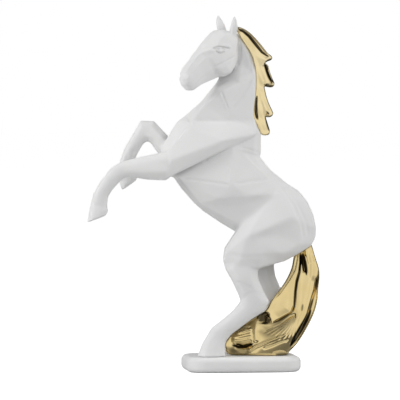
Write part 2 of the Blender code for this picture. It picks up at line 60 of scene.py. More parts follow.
# The turn and the droop of the head, and the place of the poll on the sheet
HEAD_YAW = math.radians(27.5)
HEAD_PITCH = math.radians(45)
POLL = (228, 33)


# Modelling clay: a piece's points as arrays, to smooth and to carve


class Clay:
    """The points of a dense mesh, with their neighbours."""

    def __init__(self, piece):
        self.mesh = piece.data
        flat = np.empty(len(self.mesh.vertices) * 3)
        self.mesh.vertices.foreach_get("co", flat)
        self.points = flat.reshape(-1, 3)
        ends = np.empty(len(self.mesh.edges) * 2, int)
        self.mesh.edges.foreach_get("vertices", ends)
        self.first, self.second = ends.reshape(-1, 2).T
        self.count = len(self.points)
        self.degree = np.maximum(np.bincount(ends, minlength=self.count), 1)

    def mean(self, values):
        """The mean over each point's neighbours."""
        total = np.bincount(self.first, values[self.second], self.count)
        total += np.bincount(self.second, values[self.first], self.count)
        return total / self.degree

    def soften(self, rounds, share):
        """Moves each point towards its neighbours, by a share of its own."""
        for _ in range(rounds):
            for axis in range(3):
                column = self.points[:, axis]
                self.points[:, axis] += share * (self.mean(column) - column)

    def normals(self):
        """Each point's normal, as the points stand now."""
        self.store()
        flat = np.empty(self.count * 3)
        self.mesh.vertex_normals.foreach_get("vector", flat)
        return flat.reshape(-1, 3)

    def sheet(self):
        """Each point's place across and down the sheet."""
        x, y, z = self.points.T
        across = (x * math.cos(SHEET_TURN) - y * math.sin(SHEET_TURN)) / UNIT + SHEET_CENTRE
        down = SHEET_GROUND - (z - HORSE_LOW.z - np.abs(y) * SHEET_RISE) / UNIT
        return across, down

    def push(self, depth):
        """Moves each point along its normal, in by a positive depth, in units of the sheet."""
        self.points -= self.normals() * (depth * UNIT)[:, None]

    def store(self):
        """Writes the points back to the mesh."""
        self.mesh.vertices.foreach_set("co", self.points.ravel())
        self.mesh.update()


def smoothstep(low, high, value):
    """0 at the low end and 1 at the high one, with an easy way in and out."""
    share = np.clip((value - low) / (high - low), 0, 1)
    return share * share * (3 - 2 * share)


def line_distance(across, down, line):
    """The distance to a line of marks, the side, positive on its right, and how far along it that is."""
    nearest = np.full(len(across), np.inf)
    side = np.zeros(len(across))
    along = np.zeros(len(across))
    lengths = [math.dist(a, b) for a, b in zip(line, line[1:])]
    gone = 0.0
    for (ax, ay), (bx, by), length in zip(line, line[1:], lengths):
        dx = (bx - ax) / length
        dy = (by - ay) / length
        raw = (across - ax) * dx + (down - ay) * dy
        share = np.clip(raw, 0, length)
        gap = np.hypot(across - ax - dx * share, down - ay - dy * share)
        closer = gap < nearest
        nearest = np.where(closer, gap, nearest)
        cross = dx * (down - ay) - dy * (across - ax)
        side = np.where(closer, np.sign(cross), side)
        along = np.where(closer, (gone + share) / sum(lengths), along)
        gone += length
    return nearest, side, along


# How much of a line's length a groove and a slope take to fade in at one end and out at the other
STROKE_FADE = 0.15
SCARP_FADE = 0.12


def faded(along, share):
    """1 along a line, going down to 0 at both ends."""
    return smoothstep(0, share, along) * smoothstep(0, share, 1 - along)


def stroke(across, down, line, width, depth):
    """The depth of a round-bottomed groove along a line."""
    gap, _, along = line_distance(across, down, line)
    return depth * np.exp(-(gap / width) ** 2) * faded(along, STROKE_FADE)


def scarp(across, down, line, width, depth, reach):
    """The depth of a slope across a line: raised on its left and sunk on its right as one goes along it."""
    gap, side, along = line_distance(across, down, line)
    slope = smoothstep(-width, width, side * gap) - 0.5
    return depth * slope * np.exp(-(gap / reach) ** 2) * faded(along, SCARP_FADE)


def refine(piece, low, high):
    """Halves the squares of a piece's skin inside a box."""
    bm = bmesh.new()
    bm.from_mesh(piece.data)
    inside = [e for e in bm.edges if all(low[i] < v.co[i] < high[i] for v in e.verts for i in range(3))]
    bmesh.ops.subdivide_edges(bm, edges=inside, cuts=1, use_grid_fill=True)
    bm.to_mesh(piece.data)
    bm.free()


# Points of a CAD mesh that lie closer than this are one
MERGE = 0.002 * MM


def dense_copy(node, name, voxel):
    """A copy of a CAD node's solid with an even, dense skin."""
    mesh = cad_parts[node].data.copy()
    bm = bmesh.new()
    bm.from_mesh(mesh)
    bmesh.ops.remove_doubles(bm, verts=bm.verts, dist=MERGE)
    bm.to_mesh(mesh)
    bm.free()
    mesh.materials.clear()
    piece = bpy.data.objects.new(name, mesh)
    bpy.context.scene.collection.objects.link(piece)
    skin = piece.modifiers.new("skin", "REMESH")
    skin.mode = "VOXEL"
    skin.voxel_size = voxel
    apply_modifiers(piece)
    return piece


def apply_modifiers(piece):
    """Gives a piece the mesh that its modifiers make."""
    graph = bpy.context.evaluated_depsgraph_get()
    mesh = bpy.data.meshes.new_from_object(piece.evaluated_get(graph))
    piece.modifiers.clear()
    piece.data = mesh


def thin_out(piece, triangles):
    """Brings a piece down to a number of triangles, and shades it smooth."""
    mesh = piece.data
    mesh.calc_loop_triangles()
    present = len(mesh.loop_triangles)
    if present > triangles:
        fewer = piece.modifiers.new("fewer", "DECIMATE")
        fewer.ratio = triangles / present
        apply_modifiers(piece)
    piece.data.shade_smooth()


def keep_main_part(piece):
    """Drops loose crumbs of skin, and keeps the largest part that hangs together."""
    bm = bmesh.new()
    bm.from_mesh(piece.data)
    left = set(bm.verts)
    parts = []
    while left:
        waiting = [left.pop()]
        part = list(waiting)
        while waiting:
            here = waiting.pop()
            for edge in here.link_edges:
                there = edge.other_vert(here)
                if there in left:
                    left.remove(there)
                    waiting.append(there)
                    part.append(there)
        parts.append(part)
    crumbs = [vert for part in sorted(parts, key=len)[:-1] for vert in part]
    bmesh.ops.delete(bm, geom=crumbs, context="VERTS")
    bm.to_mesh(piece.data)
    bm.free()


def solid_tree(node):
    """A CAD node's skin, to measure from."""
    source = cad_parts[node].data
    return BVHTree.FromPolygons([v.co for v in source.vertices], [p.vertices[:] for p in source.polygons])


def near_node(points, node, reach):
    """For each point, 0 at a CAD node's surface and 1 from that reach away."""
    tree = solid_tree(node)
    low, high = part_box(node)
    found = np.ones(len(points))
    inside = np.all((points > np.array(low) - reach) & (points < np.array(high) + reach), axis=1)
    for i in np.flatnonzero(inside):
        place = tree.find_nearest(points[i], reach)
        if place[0] is not None:
            found[i] = place[3] / reach
    return found


# The head's own measures: how far along it from the poll, how high above its axis, and how far to its left


def head_axes():
    """The ways along the head to the nose, up to the forehead and out to the left cheek."""
    turn = math.cos(HEAD_YAW)
    lean = math.sin(HEAD_YAW)
    level = math.cos(HEAD_PITCH)
    droop = math.sin(HEAD_PITCH)
    along = np.array((-level * turn, -level * lean, -droop))
    up = np.array((-droop * turn, -droop * lean, level))
    left = np.array((lean, -turn, 0.0))
    return along, up, left


def head_measures(points):
    """How far each point is along, up and out from the poll, in units of the sheet."""
    behind = (POLL[0] - SHEET_CENTRE) / math.cos(SHEET_TURN)
    poll = np.array((behind * UNIT, 0.0, HORSE_LOW.z + (SHEET_GROUND - POLL[1]) * UNIT))
    offset = (points - poll) / UNIT
    return [offset @ axis for axis in head_axes()]


def on_head(marks, out):
    """Marks of the sheet as measures on the side of the head, that far out from its middle."""
    flat = math.cos(HEAD_PITCH)
    turn = math.cos(HEAD_YAW + SHEET_TURN)
    lean = math.sin(HEAD_YAW + SHEET_TURN)
    found = []
    for across, down in marks:
        both = (POLL[0] + lean * out - across) / (flat * turn)
        apart = (down - POLL[1]) / flat
        found.append(((both + apart) / 2, (both - apart) / 2))
    return found


# The white casting

HORSE_VOXEL = 0.75 * MM
HORSE_TRIANGLES = 190000
HEAD_BOX = ((-70 * MM, -45 * MM, 284 * MM), (-2 * MM, 10 * MM, 336 * MM))

# The ears above this line of the sheet are drawn up and forward by these shares
EAR_ROOT = 30
EAR_STRETCH = 0.1
EAR_LEAN = 0.12

# How the creases of the solid are softened: in how many rounds, and how much at the most in each
SOFT_ROUNDS = 60
SOFT_SHARE = 0.5

# How soft the creases are on the trunk, on the ears above two lines of the sheet, and at the gold's seats
TRUNK_SOFTNESS = 0.15
EAR_SOFTNESS = 0.1
EAR_LINES = (36, 28)
SEAT_SOFTNESS = 0.12
SEAT_REACH = 3 * MM

# Softer places: how far across and down, in what radius, and how soft
SOFT_PLACES = [
    (272, 226, 50, 0.75),
    (240, 292, 34, 0.9),
    (214, 336, 26, 0.7),
    (130, 165, 38, 0.75),
    (105, 195, 24, 0.6),
    (160, 150, 16, 0.5),
]
SOFT_CORE = 0.6

# The soles stay flat: the skin is free from the second height above the base, and fixed below the first
SOLE_HEIGHTS = (0.4, 2.5)

# The last smoothing, once the lines are cut
LAST_ROUNDS = 3
LAST_SHARE = 0.4

# Creases on both flanks: the line, its width, and its depth, which is negative on a raised line
FLANK_STROKES = [
    ([(220.8, 90.5), (224.8, 100.5), (228.2, 109.5)], 0.9, 0.8),
    ([(218.6, 90.5), (222.8, 101), (227, 110)], 0.9, -0.6),
    ([(229.4, 110), (229, 116), (230, 121)], 1.1, -0.3),
    ([(255.5, 73), (248, 87), (241, 96.5), (229.8, 110.3)], 1.1, 0.7),
    ([(251.6, 58), (249.8, 71), (238.4, 78.6)], 1.8, 0.5),
    ([(238.6, 31), (239.8, 44), (239.6, 57), (237.2, 67)], 1.3, 1.0),
    ([(193.2, 121), (228.8, 121)], 2.0, 0.45),
    ([(190.8, 122.4), (187.6, 117.6), (181.4, 116), (174.5, 119.6)], 1.3, 0.6),
    ([(188.6, 124), (185.4, 120), (180.6, 118.6), (175, 122)], 1.8, -0.5),
    ([(239.7, 146.8), (250, 149.4), (260, 152.5)], 1.3, 0.6),
    ([(240, 150.5), (250, 153.2), (258, 155.8)], 1.3, 0.45),
    ([(180, 177), (205, 180.6), (231.4, 184.6)], 1.4, 0.8),
    ([(231.4, 184), (250, 181), (273.3, 177.8)], 1.6, 0.45),
    ([(227.6, 166.6), (229.2, 174), (229.6, 182)], 1.3, -0.6),
    ([(278.4, 181.8), (291.6, 202.2), (300.8, 222.7), (303.5, 240)], 1.4, 0.45),
    ([(284, 184.5), (297.2, 203.5), (305.6, 222), (308, 238)], 1.4, 0.4),
    ([(224.9, 252), (241.2, 255.8), (259.6, 255.8), (282, 253.8)], 2.2, 0.5),
    ([(235, 280.2), (253.5, 288.4)], 1.6, 0.45),
    ([(241, 299), (247, 293.5), (254, 291), (261.6, 295.5)], 1.6, 0.4),
]

# Slopes that turn a whole face: the line, its half width, its depth, and how far each side takes to level out
FLANK_SCARPS = [
    ([(172, 168), (150, 167), (122, 167)], 8, 2.0, 14),
]

# How far sideways the skin faces where the lines start, and where they have their full depth
FLANK_FACING = (0.15, 0.55)

# Lines on each side of the head: the marks, how far out they are, the line's width, and its depth
HEAD_STROKES = {
    "brow": ([(211.8, 49.2), (214.5, 46.9), (218, 46), (223, 46.4), (227, 47.2), (229.6, 48.2)],
             11.5, 0.6, 1.0),
    "brow roll": ([(212, 46.8), (218, 44.2), (226, 45), (232, 47)], 11.2, 1.2, -0.45),
    "upper lid": ([(213.4, 49.4), (216.5, 47.9), (220, 47.6), (223, 48.4), (224.6, 49.6)], 11.8, 0.5, 0.7),
    "lower lid": ([(214.9, 50), (217.6, 51.7), (220.8, 52.3), (223, 51.2), (224.4, 50)], 11.8, 0.6, 1.0),
    "cheek": ([(236.8, 54.4), (227.4, 58.7), (217, 64.6), (212, 68)], 12.4, 0.9, 0.5),
    "jaw": ([(214, 67), (206.8, 73.4), (199.4, 80)], 8.6, 1.4, 0.35),
    "jowl": ([(215.4, 66.8), (218, 71.6), (224, 75), (231, 73.4), (236.2, 66), (238.4, 58)], 12.6, 1.3, 0.8),
    "ridge": ([(212.5, 47.6), (202.5, 52), (195.3, 58.4), (189.9, 67.4), (188, 73)], 8.6, 1.3, -0.6),
    "hollow": ([(214, 51.6), (205, 55.4), (198, 61.6), (193, 69), (191.2, 76)], 9, 2.2, 0.5),
    "mouth": ([(184.4, 85.4), (189, 86.4), (193, 85.8)], 6.6, 0.7, 0.35),
}

# The eyeball and the nostril: the mark, how far out it is, the half lengths along and up, and how far
# from the middle, as shares of these, the form begins and is full
EYEBALL = ((219.8, 49.6), 12, 2.3, 1.7)
EYEBALL_RISE = 0.8
EYEBALL_LIMITS = (1.2, 0.2)
NOSTRIL = ((185.6, 74.5), 7.2, 1.7, 2.4)
NOSTRIL_DEPTH = 0.8
NOSTRIL_LIMITS = (1.3, 0.1)
NOSTRIL_RIM = ((185.6, 74.5), 7.2, 3.2, 4.0)
NOSTRIL_RIM_RISE = 0.45
NOSTRIL_RIM_WIDTH = 0.25

# Where the lines of the head begin and where they have their full depth: out from its middle, along it from
# the poll, up from below, down from above, and in from the side
FACE_MIDDLE = (2.0, 5.0)
FACE_BACK = (-2, 4)
FACE_BOTTOM = (-30, -24)
FACE_TOP = (20, 17)
FACE_SIDE = (20, 16)


def softness(across, down):
    """How soft the creases are at each place, as a share of the softest."""
    share = np.full(len(across), TRUNK_SOFTNESS)
    for centre_across, centre_down, radius, value in SOFT_PLACES:
        gap = np.hypot(across - centre_across, down - centre_down)
        weight = smoothstep(radius, radius * SOFT_CORE, gap)
        share = share * (1 - weight) + value * weight
    ears = smoothstep(*EAR_LINES, down)
    return share * (1 - ears) + EAR_SOFTNESS * ears


def carve_flanks(clay):
    """The fine lines on both flanks, and the turn of the faces that slope a little more than in the solid."""
    across, down = clay.sheet()
    facing = np.abs(clay.normals()[:, 1])
    depth = np.zeros(clay.count)
    for line, width, cut in FLANK_STROKES:
        depth += stroke(across, down, line, width, cut)
    for line, width, cut, reach in FLANK_SCARPS:
        depth += scarp(across, down, line, width, cut, reach)
    clay.push(depth * smoothstep(*FLANK_FACING, facing))


def from_centre(along, up, mark, out, half_along, half_up):
    """How far each point is from a mark on the head, 1 being on an oval of that size."""
    centre_along, centre_up = on_head([mark], out)[0]
    return np.hypot((along - centre_along) / half_along, (up - centre_up) / half_up)


def carve_head(clay):
    """Eyes, brows, nostrils, mouth, cheek lines and the facial ridge, alike on both sides of the head."""
    along, up, out = head_measures(clay.points)
    side = np.abs(out)
    on_face = smoothstep(*FACE_MIDDLE, side) * smoothstep(*FACE_BACK, along) * smoothstep(*FACE_BOTTOM, up)
    on_face = on_face * smoothstep(*FACE_TOP, up) * smoothstep(*FACE_SIDE, side)

    depth = np.zeros(clay.count)
    for marks, far_out, width, cut in HEAD_STROKES.values():
        depth += stroke(along, up, on_head(marks, far_out), width, cut)
    depth -= EYEBALL_RISE * smoothstep(*EYEBALL_LIMITS, from_centre(along, up, *EYEBALL))
    depth += NOSTRIL_DEPTH * smoothstep(*NOSTRIL_LIMITS, from_centre(along, up, *NOSTRIL))
    from_rim = from_centre(along, up, *NOSTRIL_RIM) - 1
    depth -= NOSTRIL_RIM_RISE * np.exp(-(from_rim / NOSTRIL_RIM_WIDTH) ** 2)
    clay.push(depth * on_face)


def off_the_base(down):
    """0 on the soles and 1 a little above them, where the skin is free to move."""
    low, high = SOLE_HEIGHTS
    return smoothstep(SHEET_GROUND - low, SHEET_GROUND - high, down)


def horse():
    """The casting: the solid with its creases softened, and with the fine lines cut into it."""
    piece = dense_copy("horse", "horse_casting", HORSE_VOXEL)
    clay = Clay(piece)
    across, down = clay.sheet()
    seats = [near_node(clay.points, node, SEAT_REACH) for node in ("mane", "tail")]
    share = softness(across, down) * (SEAT_SOFTNESS + (1 - SEAT_SOFTNESS) * np.minimum(*seats))
    clay.soften(SOFT_ROUNDS, SOFT_SHARE * share * off_the_base(down))
    clay.store()
    refine(piece, *HEAD_BOX)

    clay = Clay(piece)
    _, down = clay.sheet()
    above_root = UNIT * np.maximum(EAR_ROOT - down, 0)
    clay.points[:, 2] += EAR_STRETCH * above_root
    clay.points[:, 0] -= EAR_LEAN * above_root
    carve_flanks(clay)
    carve_head(clay)
    clay.soften(LAST_ROUNDS, LAST_SHARE * off_the_base(down))
    clay.store()
    thin_out(piece, HORSE_TRIANGLES)
    keep_main_part(piece)
    dress(piece, "horse", ceramic())


# The gilded pieces

# The grid of the gold's faces, how far out rays to the solid start, and the least half thickness
GRID_STEP = 0.4
RAY_START = 80
THINNEST = 0.5

# The least length of an outline's side, how often its corners are cut and squares that touch at a corner
# only are dropped, and how the grid evens out inside it
SHORTEST = 1e-6
CORNER_ROUNDS = 3
PINCH_ROUNDS = 3
EVEN_ROUNDS = 12
BLUR_SHARE = 0.5

# Within this height above the ground, the faces bend down to the level foot
FOOT_HEIGHT = 3

# Strokes fade to nothing at the rim, are half as deep on the far side, and are blurred a little
STROKE_RIM = (0.2, 1.6)
NEAR_SHARE = 1.0
FAR_SHARE = 0.5
STROKE_BLUR = 2
# The painted dark reflections: how much they are blurred, the least soft width of their edge, and the least
# share of their width at their ends
REFLECTION_BLUR = 1
REFLECTION_EDGE = 0.45
REFLECTION_TIP = 0.02

MANE_OUTLINE = [
    (236.3, 26.6), (240.3, 27.1), (244.9, 29), (250.3, 32.8), (255.6, 38.1), (260.2, 43.4),
    (264.8, 49.1), (268.1, 53.3), (271.2, 55.2), (272.9, 57.8), (271.2, 60.3), (268.6, 60.9),
    (266.6, 62), (265.2, 63.2), (266.6, 64), (268.5, 65.2), (269.2, 69), (271.2, 75.1),
    (273.5, 80.4), (275.1, 83.8), (273.6, 86.7), (270.9, 87.5), (267.1, 86.9), (264.6, 86.4),
    (264.9, 88.9), (266.2, 95), (268.1, 101.2), (270.4, 106.5), (272.7, 110.9), (273.7, 113.8),
    (272, 116.6), (268.6, 117.5), (265.7, 116.8), (266.8, 120.3), (268.5, 125.7), (270.1, 130.3),
    (269.9, 134), (267.3, 135.4), (264.1, 135.6), (260.7, 134.5), (258.5, 129.5), (256.2, 124.1),
    (253.5, 119.5), (253.1, 111.9), (253.9, 102.7), (255.4, 93.5), (256.2, 84.3), (256, 72.1),
    (254.7, 64.4), (252.4, 56.8), (249.3, 50.6), (244.7, 43.7), (240.1, 36.8), (236.9, 31.3),
]

TAIL_OUTLINE = [
    (308.5, 237), (312.3, 246), (314, 252.7), (316.6, 261.1), (318.7, 267), (319.6, 272),
    (319.6, 278.7), (318.7, 285.5), (318.4, 290.5), (317.8, 298.9), (316.6, 305.6), (314.2, 313.2),
    (310, 322.4), (305.8, 330), (300.7, 338.4), (295.6, 345.1), (290.3, 350.2), (288.4, 352.4),
    (286.6, 354.5), (270, 354.5), (250, 354.5), (226.4, 354.5), (224.9, 347.6), (223.8, 343),
    (227.3, 338), (230.7, 331.4), (235, 328), (242.5, 323.8), (250.9, 318.8), (258.5, 314.6),
    (265.9, 310.2), (269.2, 303.6), (273.4, 296.9), (281, 287.7), (286, 280.1), (290.2, 271.7),
    (292.3, 265.1), (293.2, 258.6), (295.5, 248), (298.5, 240),
]

# Valleys, ridges and locks on the gold: the line, its width, and its depth, negative on a raised line
MANE_STROKES = [
    ([(252.6, 56.8), (257, 68), (261.7, 81), (264, 86)], 1.8, 0.35),
    ([(250, 47), (256, 56), (262, 62.5)], 1.8, 0.2),
    ([(265.6, 63.8), (266.6, 67), (268, 70)], 1.2, 1.2),
    ([(258, 84), (262, 98), (267, 110), (271, 115)], 1.7, 0.3),
    ([(256.6, 95.4), (255.6, 104), (256, 112), (257.9, 120.3)], 1.1, 2.6),
    ([(257.6, 98), (257, 108), (258.6, 119)], 0.5, -0.8),
    ([(260.5, 100), (263.5, 113), (266.5, 124), (268, 132)], 1.6, -0.25),
    ([(259.5, 118), (262, 126), (264.5, 133)], 1.3, 0.25),
    ([(266, 84.8), (269.5, 85.6)], 1.1, 1.2),
    ([(266.5, 113.5), (269, 115.5)], 1.2, 1.4),
]

TAIL_STROKES = [
    ([(297, 252), (296.6, 258), (294.2, 269.5), (288.3, 280.4), (279.9, 292.2), (272.4, 299.7)], 0.8, 0.9),
    ([(302.4, 248), (303.6, 262), (304.9, 273)], 1.8, 3.0),
    ([(305.2, 253.5), (307.8, 264), (308.6, 274)], 0.7, 0.7),
    ([(309.4, 246), (312.2, 262), (312, 278), (308.6, 296), (302.6, 314), (295.5, 330)], 2.4, 0.9),
    ([(270.5, 323.7), (268.8, 318.2), (265.4, 312.4)], 1.3, 1.6),
    ([(264.5, 311), (263.4, 324)], 3.2, 2.6),
    ([(255.8, 317), (255.4, 330), (256.2, 343)], 2.4, -1.1),
    ([(251.6, 326.6), (243.6, 328), (236.8, 331.7)], 0.9, 1.2),
    ([(236, 333), (243, 331), (252, 328)], 1.4, -0.7),
    ([(231, 337), (240, 336), (252, 333.4)], 1.6, -0.6),
    ([(234.3, 344.6), (243, 346.5), (252, 343.8)], 2.0, 2.4),
    ([(231, 340), (240, 340.5), (252, 338)], 1.8, -1.0),
    ([(244.4, 352.7), (256.2, 345.1), (272, 339.5), (289, 333)], 1.3, -1.2),
    ([(262, 348.5), (278, 342), (290, 338.4)], 1.0, 0.8),
    ([(272, 353.6), (279, 352.4), (286, 353.4)], 1.1, 1.2),
]

# Slopes on the gold: the line, the slope's half width, its depth, and how far each side takes to level out
MANE_SCARPS = [
    ([(237.6, 29.9), (243.4, 31.2), (248.4, 34.7), (253, 40), (257.6, 46.2), (262.2, 51.6), (266.6, 55),
      (270.8, 56.6)], 1.4, -3.6, 4),
    ([(264.3, 64), (267.7, 71.6), (271, 78), (274, 83.5)], 1.4, -3.2, 3),
]

TAIL_SCARPS = [
    ([(299.6, 248), (300, 262), (299.4, 271), (296, 281), (294.8, 290.5), (293.6, 305.6), (290.6, 312.4),
      (280.5, 318.2), (270.5, 323.7)], 1.4, -4.6, 7),
    ([(316.6, 274), (314.6, 290), (310.8, 303), (308, 314), (300.6, 329.2), (291.4, 344)], 2.1, -6.0, 6),
]

# Painted dark reflections in the gold: the line, its width where widest, and how dark it is
MANE_DARK_REFLECTIONS = [
    ([(237, 28), (242.9, 31.1), (249.2, 36.3), (255.4, 44), (262, 52.2), (268.6, 56.8)], 1.7, 1.0),
    ([(237.6, 26.4), (245, 28.6), (250.6, 32.2), (256.2, 37.6), (261.2, 43.4), (266.2, 50), (271, 54.8)],
     1.3, 0.55),
    ([(265.4, 62.4), (268.6, 60.2), (272.4, 58.4)], 1.1, 0.9),
    ([(264.4, 63), (266.2, 68.6), (268.8, 76), (272, 83)], 1.6, 1.0),
    ([(264.2, 84.6), (268.5, 86.2), (273.6, 85.4)], 1.4, 0.9),
    ([(257.3, 96), (256.7, 104), (256.9, 112), (258.1, 119.8)], 0.9, 1.0),
    ([(265.4, 88.4), (268, 98), (272.4, 110)], 0.9, 0.7),
    ([(265.6, 116), (267, 122.4), (269.2, 131)], 1.2, 0.9),
    ([(266.4, 111.4), (269.4, 114)], 0.9, 0.8),
    ([(265, 116.6), (269, 117.2), (273.4, 115.4)], 1.0, 0.8),
]

TAIL_DARK_REFLECTIONS = [
    ([(300, 250), (300.2, 262), (299.2, 272), (296.6, 282), (295.2, 292), (294.2, 306), (292.2, 313)],
     1.5, 1.0),
    ([(302.6, 253), (304.6, 262), (306, 270), (306.4, 275)], 1.9, 1.0),
    ([(291.4, 313.6), (282, 319.4), (271, 323.8)], 0.9, 0.9),
    ([(256.6, 318), (262, 315), (266, 311.6)], 2.6, 0.9),
    ([(258.4, 320.4), (264.4, 318), (269, 314.4)], 2.6, 0.9),
    ([(262.4, 322.6), (266.6, 321.4), (270.6, 318.6)], 2.4, 0.9),
    ([(258.6, 331), (267, 333), (276, 329)], 4.0, 0.4),
    ([(263, 326), (270, 331), (280, 326), (289, 318)], 5.0, 0.42),
    ([(226, 340), (231, 333.6), (242, 327), (253, 321)], 2.2, 0.5),
    ([(225, 347), (233, 351.4), (250, 352)], 3.4, 0.6),
    ([(318.4, 270), (318.2, 280), (316.4, 290)], 0.9, 0.9),
    ([(312.8, 299), (310.6, 305), (308.8, 311.6)], 1.4, 0.9),
    ([(311, 310), (306, 320), (300, 330), (293, 341), (290, 346)], 3.0, 1.0),
    ([(302.6, 304), (301.6, 311)], 1.0, 0.7),
    ([(245.6, 324.6), (240.6, 327.4), (235.6, 331.6)], 0.9, 0.9),
    ([(231.6, 344.4), (238, 346.6), (246, 346.2), (253, 343)], 1.7, 1.0),
    ([(275, 353.6), (288, 353.4)], 1.2, 0.8),
    ([(293.6, 256.6), (291.6, 270), (285.6, 281.6), (274, 296.6)], 1.6, 0.45),
]

# The fan of fine strands low on the tail: where they spring, and where the first and the last one end
FAN_TOP = (295, 312)
FAN_FIRST = (262, 333)
FAN_LAST = (292, 347)
FAN_BEND = (2, 1.5)
FAN_STRANDS = 9
FAN_WIDTH = 0.7
FAN_DEPTH = 0.7


def fan_strokes():
    """Grooves between the strands, each bent a little to the right."""
    found = []
    top = np.array(FAN_TOP)
    for share in np.linspace(0, 1, FAN_STRANDS):
        foot = np.array(FAN_FIRST) * (1 - share) + np.array(FAN_LAST) * share
        middle = (top + foot) / 2 + np.array(FAN_BEND)
        found.append(([tuple(mark) for mark in (top, middle, foot)], FAN_WIDTH, FAN_DEPTH))
    return found


# Each gilded piece, with how far it is moved across and down from where its marks are drawn, how many times
# its depths are blurred, and how round its rim is
GILDING = {
    "mane": {
        "outline": MANE_OUTLINE,
        "strokes": MANE_STROKES,
        "scarps": MANE_SCARPS,
        "dark_reflections": MANE_DARK_REFLECTIONS,
        "shift": (-0.5, -0.8),
        "blur": 700,
        "rim_radius": 1.5,
    },
    "tail": {
        "outline": TAIL_OUTLINE,
        "strokes": TAIL_STROKES + fan_strokes(),
        "scarps": TAIL_SCARPS,
        "dark_reflections": TAIL_DARK_REFLECTIONS,
        "shift": (0, 0),
        "blur": 420,
        "rim_radius": 1.6,
    },
}


def reflection_darkness(across, down, line, width, share):
    """How dark a painted dark reflection is at each point, as wide as given half way along. A fainter one has
    a softer edge.
    """
    gap, _, along = line_distance(across, down, line)
    narrowed = width * np.sqrt(np.clip(4 * along * (1 - along), REFLECTION_TIP, 1))
    soft = REFLECTION_EDGE + (1 - share) * width
    return share * smoothstep(narrowed + soft, narrowed - soft, gap)


def rounded(marks, rounds):
    """A closed line along marks, with its corners cut."""
    line = np.array(marks, float)
    for _ in range(rounds):
        after = np.roll(line, -1, axis=0)
        line = np.stack([line * 0.75 + after * 0.25, line * 0.25 + after * 0.75], axis=1).reshape(-1, 2)
    return line


def nearest_on(across, down, line):
    """The nearest place on a closed line for each point, and the distance to it."""
    best = np.full(len(across), np.inf)
    found = np.zeros((len(across), 2))
    for (ax, ay), (bx, by) in zip(line, np.roll(line, -1, axis=0)):
        length = max(math.hypot(bx - ax, by - ay), SHORTEST)
        dx = (bx - ax) / length
        dy = (by - ay) / length
        share = np.clip((across - ax) * dx + (down - ay) * dy, 0, length)
        spots = np.stack([ax + dx * share, ay + dy * share], axis=1)
        gap = np.hypot(across - spots[:, 0], down - spots[:, 1])
        closer = gap < best
        best[closer] = gap[closer]
        found[closer] = spots[closer]
    return found, best


def within(across, down, line):
    """Whether each point is inside a closed line."""
    odd = np.zeros(across.shape, bool)
    for (ax, ay), (bx, by) in zip(line, np.roll(line, -1, axis=0)):
        if ay == by:
            continue
        crosses = (ay > down) != (by > down)
        odd ^= crosses & (across < (bx - ax) * (down - ay) / (by - ay) + ax)
    return odd


